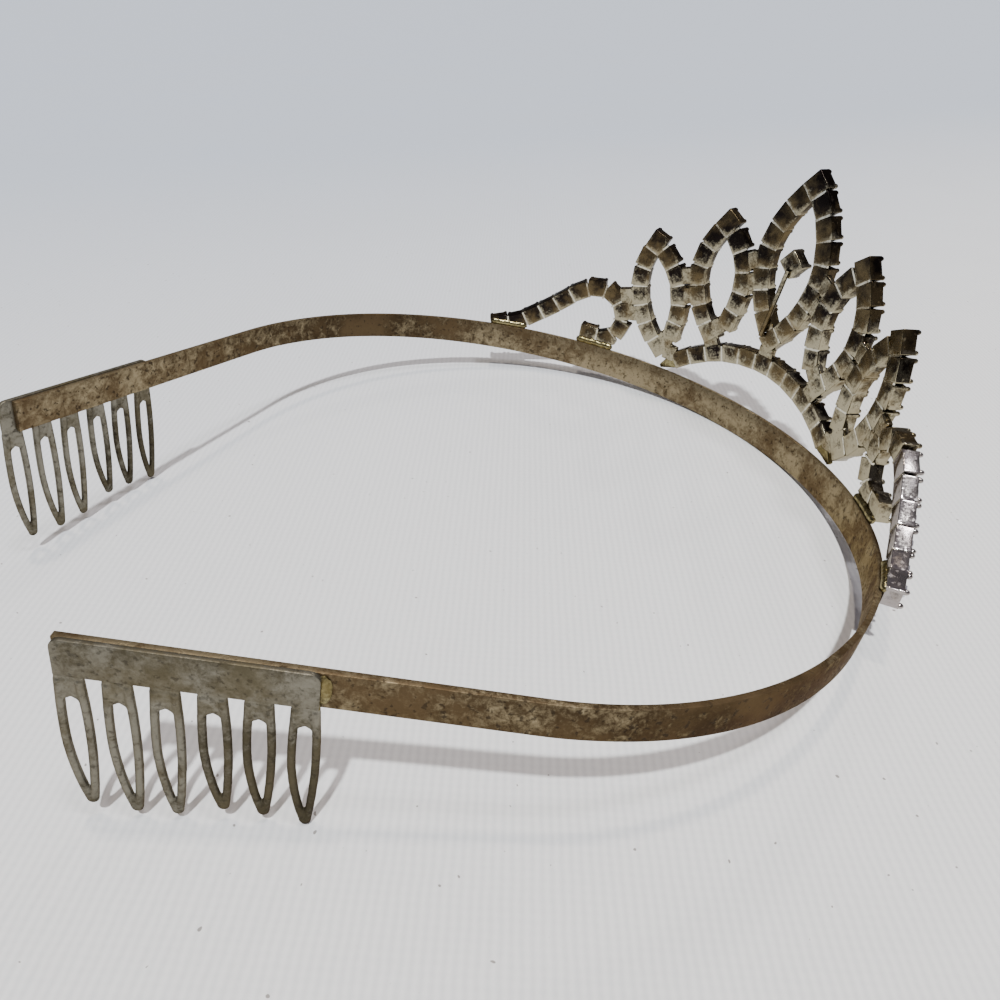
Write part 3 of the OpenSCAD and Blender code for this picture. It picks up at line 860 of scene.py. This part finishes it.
def makeChain(name, spots, solder, golden=(), closed=False, feet=(), deeper=0.0):
    plan = chainPlan
    pieces = []
    for number, spot in enumerate(spots):
        wobble = (Matrix.Translation((chance.uniform(-plan["along"], plan["along"]) * mm,
                                      chance.uniform(-plan["forward"], 0.0) * mm,
                                      chance.uniform(-plan["up"], plan["up"]) * mm))
                  @ Matrix.Rotation(math.radians(chance.uniform(-plan["turn"], plan["turn"])),
                                    4, "Y"))
        place = seatAt(spot) @ wobble
        level = darkness(spot) + deeper
        mid = place.translation.z
        for model in (cup, stone):
            twin = copied(model, "piece", place)
            # painted shade: each cup darker towards its top, for the dark room that it reflects
            paint(twin, "tarnishAndShade", lambda at: level + plan["topPaintedShade"] * (at.z - mid) / (2 * mm))
            # painted reflection: these near cups get a lilac silver, for kept plating and the
            # pale sky they reflect
            if name == plan["platedSheenChain"] and number < plan["platedSheenCups"]:
                paint(twin, "silver", lambda at: plan["platingAndSheen"])
            pieces.append(twin)
        after = spots[(number + 1) % len(spots)]
        isNext = math.dist(spot[:2], after[:2]) < plan["nextCup"] * linkLength
        if isNext and (number + 1 < len(spots) or closed):
            twin = copied(link, "piece", seatAt(wayTo(spot, after)))
            paint(twin, "tarnishAndShade", lambda at: level)
            pieces.append(twin)
    if solder:
        pieces.append(blobs(solder, solderPlan["voxel"], onCup))
    if golden:
        pieces.append(blobs(golden, solderPlan["goldVoxel"], onSolder))
    chain = joined(pieces + list(feet), name)
    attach(chain, "root")
    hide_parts(name, name + "_stones")
    print(name, "made:", len(chain.data.polygons), "faces")


def bothSides(name, spots, solder, golden):
    for side, way in (("_left", lambda s: s), ("_right", mirrored)):
        joints = [ball for pair in solder for ball in bridge(*way(list(pair)))]
        gold = [ball for pair in golden for ball in bead(*way(list(pair)))]
        makeChain(name + side, way(spots), joints, gold)


bothSides("scroll", scrollCups,
          [(scrollCups[7], outerCups[3]), (scrollCups[8], outerCups[2])],
          [scrollCups[0:2], scrollCups[10:12]])
bothSides("outer_leaf", outerCups,
          [(outerCups[8], innerCups[3]), (outerCups[9], innerCups[2]),
           (outerCups[11], outerCups[0]), (outerCups[0], archCups[-1])], [])
bothSides("inner_leaf", innerCups,
          [(innerCups[8], centerCups[3]), (innerCups[9], centerCups[2]),
           (innerCups[11], innerCups[0]), (innerCups[0], archCups[8])], [])
makeChain("center_leaf", centerCups, bridge(centerCups[15], archCups[5]), closed=True)
leftFoot = makeFoot(archCups[-1])
rightFoot = copied(leftFoot, "foot", Matrix.Diagonal((-1, 1, 1, 1)))
rightFoot.data.flip_normals()
makeChain("arch", archCups, [], feet=[leftFoot, rightFoot], deeper=chainPlan["archDark"])


postPlan = {"height": 16.2, "turn": 40, "wire": 1.0, "footShift": 2, "behind": 0.3,
            "footShare": 0.97, "headGap": 1.2, "frame": 0.12, "wireBehind": 0.3,
            "drop": (0, 0.05, 0.6), "dropShape": (1, 0.7, 1.3, 1), "dropRadius": 0.75,
            "dropVoxel": 0.12, "stain": 0.42, "rub": 0.6}


def makePost():
    plan = postPlan
    seat = (0, centerCups[15][1] + plan["height"], 0)
    place = seatAt(seat) @ Matrix.Translation((0, plan["behind"] * mm, 0))
    turned = place @ Matrix.Rotation(math.radians(-plan["turn"]), 4, "Y")
    head = [copied(cup, "piece", turned), copied(stone, "piece", turned)]
    low = Vector((plan["footShift"], 0, -plan["height"] * plan["footShare"])) * mm
    high = Vector((0, 0, -plan["headGap"])) * mm
    pickNone()
    bpy.ops.mesh.primitive_cylinder_add(vertices=12, radius=plan["wire"] * mm / 2,
                                        depth=(high - low).length)
    wire = settle("wire")
    edit(wire)
    pick("FACE", lambda f: abs(f.normal.z) > 0.9)
    bpy.ops.mesh.inset(thickness=plan["frame"] * mm)
    leaveEdit()
    aim = (high - low).to_track_quat("Z", "Y").to_matrix().to_4x4()
    wire.data.transform(place @ Matrix.Translation(
        (low + high) / 2 + Vector((0, plan["wireBehind"], 0)) * mm) @ aim)
    dress(wire, *cupFinishes)
    drop = (place @ Matrix.Translation(low + Vector(plan["drop"]) * mm)
            @ Matrix.Diagonal(plan["dropShape"]))
    solder = blobs([(drop, plan["dropRadius"])], plan["dropVoxel"], onCup)
    for model in (head[0], wire):
        paint(model, "tarnishAndShade", lambda at: plan["stain"])
    paint(wire, "wear", lambda at: plan["rub"])
    post = joined([wire] + head + [solder], "center_post")
    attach(post, "root")
    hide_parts("center_post", "center_post_stone")


makePost()
for model in (cup, stone, link):
    bpy.data.objects.remove(model)
print("post made")


# In metres: the floor's size, and where its far colour begins and ends; that colour is a painted
# shade, darker and bluer away from the crown. Its grain, thread and relief are in millimetres.
floorPlan = {"size": 40, "near": colour(0.73, 0.72, 0.70), "far": colour(0.42, 0.465, 0.54),
             "hollowShade": colour(0.45, 0.46, 0.47), "fleck": colour(0.16, 0.14, 0.12),
             "farShadeFrom": -0.12, "farShadeTo": 0.36, "clouds": 70, "fuzz": 0.9, "thread": 1.15,
             "weaveTurn": 32.8, "along": 0.6, "across": 0.15, "fuzzShare": 0.5,
             "hollowShadeFrom": 0.9, "cloudShare": 0.8, "hollowShadeShare": 0.45, "fleckSize": 1.1,
             "fleckFrom": 0.775, "fleckTo": 0.80, "fleckShare": 0.8, "gloss": 0.85,
             "relief": 0.1, "reliefShare": 0.5}


def makeFloor():
    plan = floorPlan
    pickNone()
    bpy.ops.mesh.primitive_plane_add(size=plan["size"])
    floor = settle("floor")
    finish = Finish(bpy.data.materials.new("paleCanvas"))
    cloud = finish.grain(plan["clouds"], 3, 0.5)
    fuzz = finish.grain(plan["fuzz"], 4, 0.7)
    where = finish.add("ShaderNodeTexCoord", {}, {}, "Object")
    far = finish.add("ShaderNodeSeparateXYZ", {}, {0: where}, "X").band(plan["farShadeFrom"],
                                                                        plan["farShadeTo"])
    where = finish.add("ShaderNodeMapping", {}, {
        "Vector": where, "Rotation": (0, 0, math.radians(plan["weaveTurn"]))})
    threads = [finish.add("ShaderNodeTexWave", {"bands_direction": way}, {
        "Vector": where, "Scale": math.pi / 10 / (plan["thread"] * mm), "Distortion": 1.2,
        "Detail": 2.0}, 1) for way in ("Y", "X")]
    weave = (threads[0] * plan["along"] + threads[1] * plan["across"]
             + fuzz * plan["fuzzShare"])
    flecks = finish.grain(plan["fleckSize"], 1, 0.4).band(plan["fleckFrom"], plan["fleckTo"])
    # painted shade: the floor grows darker and bluer away from the crown
    base = finish.blend(plan["near"], plan["far"], far)
    # painted shade in the weave's hollows, mixed with cloudy tone
    hollowShade = (plan["hollowShadeFrom"] - weave + (cloud - 0.5) * plan["cloudShare"]).held()
    base = finish.blend(base, plan["hollowShade"], hollowShade * plan["hollowShadeShare"])
    base = finish.blend(base, plan["fleck"], flecks * plan["fleckShare"])
    floor.data.materials.append(finish.done(
        Base_Color=base, Roughness=plan["gloss"],
        Normal=finish.bumps(weave, plan["relief"], plan["reliefShare"])))


makeFloor()


lampPlan = [  # how far its shadow moves for each unit of height, strength, degrees across
    {"name": "lampCamera", "lean": (-0.31, 0.22), "strength": 4.4, "spread": 2.2,
     "tint": (0.95, 0.98, 1.0)},
    {"name": "lampAbove", "lean": (-0.17, -0.22), "strength": 1.0, "spread": 8,
     "tint": (0.96, 0.94, 1.0)},
    {"name": "lampBeyond", "lean": (0.15, -0.09), "strength": 1.05, "spread": 3.5,
     "tint": (1.0, 0.87, 0.74)},
    {"name": "lampFar", "lean": (0.88, -1.06), "strength": 0.35, "spread": 3,
     "tint": (1.0, 0.95, 0.9)}]
# The room is bright high up and towards -y, and its wall is pale where it is seen directly.
roomPlan = {"dark": colour(0.012, 0.011, 0.014), "bright": colour(0.2, 0.19, 0.215),
            "above": colour(0.25, 0.23, 0.265), "wall": colour(0.62, 0.65, 0.69),
            "front": 0.6, "brightFrom": -0.1, "brightTo": 0.45, "aboveFrom": 0.8,
            "aboveTo": 0.97}


def makeLights():
    for plan in lampPlan:
        lamp = bpy.data.lights.new(plan["name"], "SUN")
        lamp.angle = math.radians(plan["spread"])
        lamp.energy = plan["strength"]
        lamp.color = plan["tint"]
        holder = bpy.data.objects.new(plan["name"], lamp)
        bpy.context.scene.collection.objects.link(holder)
        way = Vector((*plan["lean"], 1)).normalized()
        holder.matrix_world = way.to_track_quat("Z", "Y").to_matrix().to_4x4()
    plan = roomPlan
    room = Finish(bpy.data.worlds.new("softRoom"))
    where = room.add("ShaderNodeTexCoord", {}, {}, "Generated")
    up = room.add("ShaderNodeSeparateXYZ", {}, {0: where}, "Z")
    back = room.add("ShaderNodeSeparateXYZ", {}, {0: where}, "Y")
    glow = (up - back * plan["front"]).band(plan["brightFrom"], plan["brightTo"])
    tint = room.blend(plan["dark"], plan["bright"], glow)
    tint = room.blend(tint, plan["above"], up.band(plan["aboveFrom"], plan["aboveTo"]))
    seen = room.add("ShaderNodeLightPath", {}, {}, "Is Camera Ray")
    tint = room.blend(tint, plan["wall"], seen)
    shade = room.add("ShaderNodeBackground", {}, {"Color": tint})
    room.add("ShaderNodeOutputWorld", {}, {"Surface": shade})
    bpy.context.scene.world = room.owner


makeLights()


# Where the photograph was taken from: place in the band's own frame, in millimetres.
cameraPlan = {"place": (-96.769, 137.224, 57.778), "azimuth": 232.566, "elevation": 30.301,
              "roll": 11.427, "focalPixels": 747.8, "imagePixels": 1000, "sensor": 36,
              "nearest": 0.005, "furthest": 100}


def makeCamera():
    plan = cameraPlan
    a, e = math.radians(plan["azimuth"]), math.radians(plan["elevation"])
    back = Vector((math.sin(a) * math.cos(e), -math.cos(a) * math.cos(e), math.sin(e)))
    turn = (back.to_track_quat("Z", "Y").to_matrix().to_4x4()
            @ Matrix.Rotation(math.radians(plan["roll"]), 4, "Z"))
    eye = bpy.data.cameras.new("camera")
    eye.sensor_width = plan["sensor"]
    eye.lens = plan["focalPixels"] * eye.sensor_width / plan["imagePixels"]
    eye.clip_start = plan["nearest"]
    eye.clip_end = plan["furthest"]
    camera = bpy.data.objects.new("camera", eye)
    bpy.context.scene.collection.objects.link(camera)
    camera.matrix_world = standPlace @ Matrix.Translation(Vector(plan["place"]) * mm) @ turn
    bpy.context.scene.camera = camera


makeCamera()
print("floor, lights and camera made")
